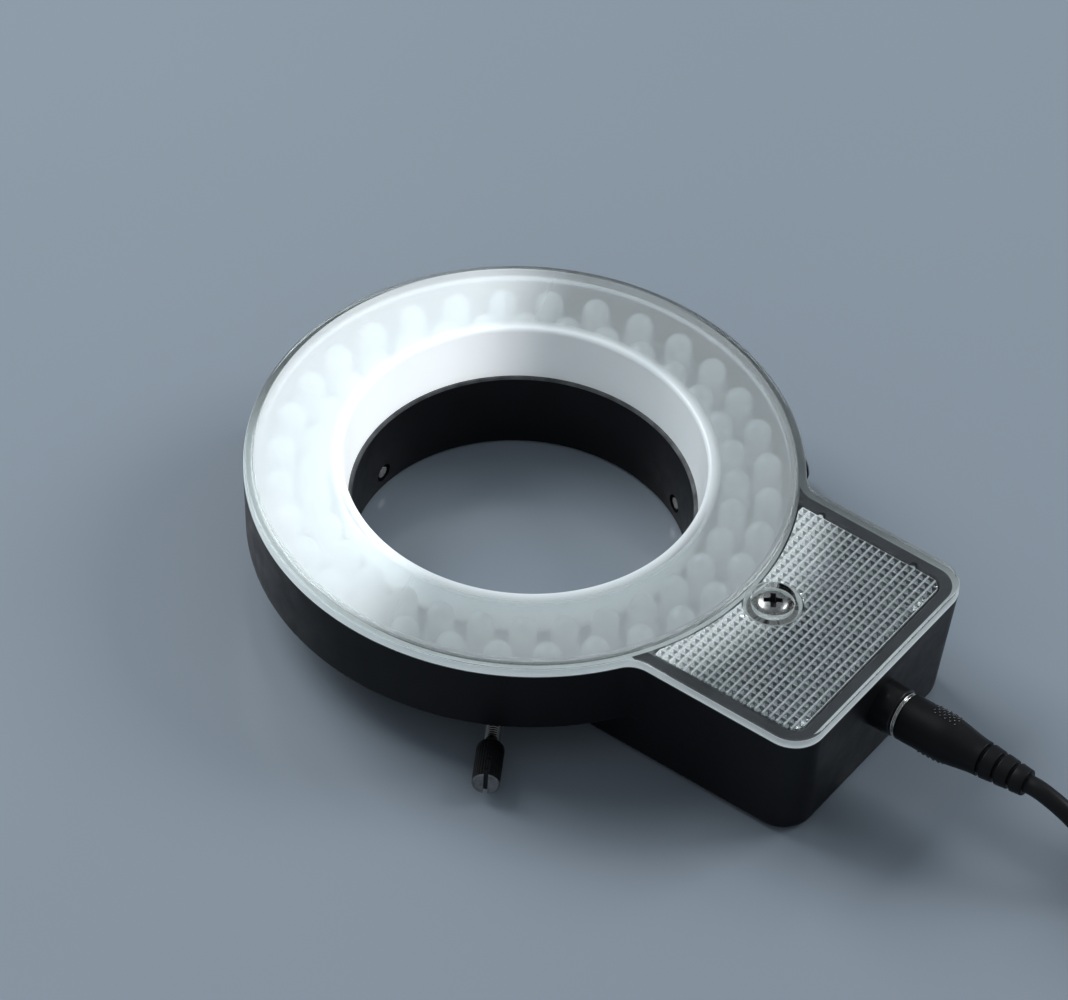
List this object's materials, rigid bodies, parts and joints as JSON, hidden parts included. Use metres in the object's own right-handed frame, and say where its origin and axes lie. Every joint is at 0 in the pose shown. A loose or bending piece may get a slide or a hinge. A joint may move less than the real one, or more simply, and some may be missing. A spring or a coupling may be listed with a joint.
{
  "type": "microscope ring light",
  "caption": "Ring light for a microscope: black moulded ring and driver box under a clear frosted cover, radial clamping thumbscrews, and a low-voltage lead coiled to its power adapter.",
  "frame": {"origin": "on the axis of the clamping bore, in the plane of the foot that the lamp lies on", "axes": "+Z along the bore, the way the light shines; +X from the bore's axis towards the driver box and its lead"},
  "size_m": [0.3195, 0.1046, 0.028],
  "materials": {
    "housing_black": "satin black moulding with a fine spark-eroded grain",
    "cover_clear": "clear moulding, frosted over the lamps",
    "prism_clear": "clear moulding with a field of small pyramids",
    "nickel": "bright nickel plating",
    "lamp_epoxy": "clear lamp epoxy",
    "dark_board": "dark solder resist",
    "green_board": "green solder resist",
    "component_black": "moulded component",
    "can_blue": "sleeved capacitor can",
    "ferrite": "ferrite drum with a winding",
    "wire_red": "red insulation",
    "wire_black": "black insulation",
    "inlet_black": "black moulded socket",
    "brass": "machined brass",
    "stud_steel": "bright thread",
    "knob_black": "black oxide with a bare end face",
    "plug_rubber": "black overmoulded grip",
    "cord_black": "black cord sheath",
    "tie_black": "black band",
    "adapter_black": "black moulded case"
  },
  "bodies": {
    "lamp_head": {"housing": "housing_black", "cover": "cover_clear", "prism_panel": "prism_clear", "cover_screw": "nickel", "lamp_board": "dark_board", "outer_lamps": "lamp_epoxy", "inner_lamps": "lamp_epoxy", "lamp_resistors": "component_black", "driver_board": "green_board", "driver_board_screws": "nickel", "driver_chip": "component_black", "filter_capacitor": "can_blue", "driver_coil": "ferrite", "red_lamp_wire": "wire_red", "black_lamp_wire": "wire_black", "inlet_body": "inlet_black", "inlet_pin": "nickel", "inlet_spring": "nickel", "thread_inserts": "brass"},
    "clamp_screw_1": {"clamp_stud_1": "stud_steel"},
    "clamp_head_1": {"clamp_knob_1": "knob_black"},
    "clamp_screw_2": {"clamp_stud_2": "stud_steel"},
    "clamp_head_2": {"clamp_knob_2": "knob_black"},
    "clamp_screw_3": {"clamp_stud_3": "stud_steel"},
    "clamp_head_3": {"clamp_knob_3": "knob_black"},
    "plug_and_cord": {"plug_grip": "plug_rubber", "plug_barrel": "nickel", "plug_insulator": "component_black", "cord_lead": "cord_black", "cord_coil": "cord_black", "cord_tail": "cord_black", "cord_tie": "tie_black", "adapter_relief": "plug_rubber", "adapter_lower_case": "adapter_black", "adapter_upper_case": "adapter_black", "adapter_pins": "nickel"}
  },
  "joints": [
    {"name": "clamp_screw_1_feed", "type": "slide", "parent": "lamp_head", "child": "clamp_screw_1", "axis": [-0.5, -0.866, 0], "range_m": [0, 0.01]},
    {"name": "clamp_screw_1_turn", "type": "hinge", "parent": "clamp_screw_1", "child": "clamp_head_1", "pos_m": [0, 0, 0.004], "axis": [-0.5, -0.866, 0], "range_deg": [0, 7200]},
    {"name": "clamp_screw_2_feed", "type": "slide", "parent": "lamp_head", "child": "clamp_screw_2", "axis": [1, 0, 0], "range_m": [0, 0.01]},
    {"name": "clamp_screw_2_turn", "type": "hinge", "parent": "clamp_screw_2", "child": "clamp_head_2", "pos_m": [0, 0, 0.004], "axis": [1, 0, 0], "range_deg": [0, 7200]},
    {"name": "clamp_screw_3_feed", "type": "slide", "parent": "lamp_head", "child": "clamp_screw_3", "axis": [-0.5, 0.866, 0], "range_m": [0, 0.0109]},
    {"name": "clamp_screw_3_turn", "type": "hinge", "parent": "clamp_screw_3", "child": "clamp_head_3", "pos_m": [0, 0, 0.004], "axis": [-0.5, 0.866, 0], "range_deg": [0, 7848]},
    {"name": "plug_pull", "type": "slide", "parent": "lamp_head", "child": "plug_and_cord", "axis": [1, 0, 0], "range_m": [0, 0.012]}
  ],
  "couplings": [
    {"joint": "clamp_screw_1_turn", "follows": "clamp_screw_1_feed", "rad_per_m": 12566},
    {"joint": "clamp_screw_2_turn", "follows": "clamp_screw_2_feed", "rad_per_m": 12566},
    {"joint": "clamp_screw_3_turn", "follows": "clamp_screw_3_feed", "rad_per_m": 12566}
  ]
}
